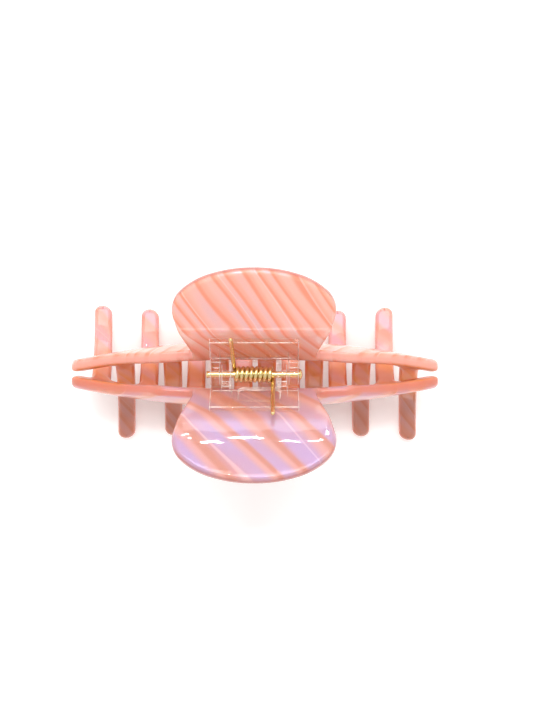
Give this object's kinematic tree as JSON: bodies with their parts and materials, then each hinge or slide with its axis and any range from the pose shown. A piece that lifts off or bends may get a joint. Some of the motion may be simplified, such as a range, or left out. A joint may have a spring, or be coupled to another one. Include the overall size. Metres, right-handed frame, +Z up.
{
  "type": "claw clip",
  "caption": "Arched hair claw clip: two patterned glossy jaws with curved interlacing teeth and flared thumb handles, joined by clear brackets, a hinge pin and a torsion spring.",
  "frame": {"origin": "on the surface the tooth tips stand on, straight below the middle of the hinge pin", "axes": "+X along the hinge pin towards its head and along the clip's length, +Y towards jaw A's handle, +Z up towards the handles"},
  "size_m": [0.1102, 0.0608, 0.0613],
  "materials": {
    "acetate": "polished, pearly, diagonal coral and pale pink stripes",
    "clear_plastic": "clear, glossy",
    "clear_adhesive": "clear",
    "gilt_metal": "bright gold plating"
  },
  "bodies": {
    "jaw_a_side": {"jaw_a": "acetate", "hinge_bracket_a": "clear_plastic", "adhesive_a": "clear_adhesive", "hinge_pin": "gilt_metal", "torsion_spring": "gilt_metal"},
    "jaw_b_side": {"jaw_b": "acetate", "hinge_bracket_b": "clear_plastic", "adhesive_b": "clear_adhesive"}
  },
  "joints": [
    {"name": "jaw_hinge", "type": "hinge", "parent": "jaw_a_side", "child": "jaw_b_side", "pos_m": [0, 0, 0.04025], "axis": [-1, 0, 0], "range_deg": [0, 78], "stiffness_Nm_per_rad": 0.12, "springref_deg": -34.38, "deforming": ["torsion_spring"]}
  ]
}
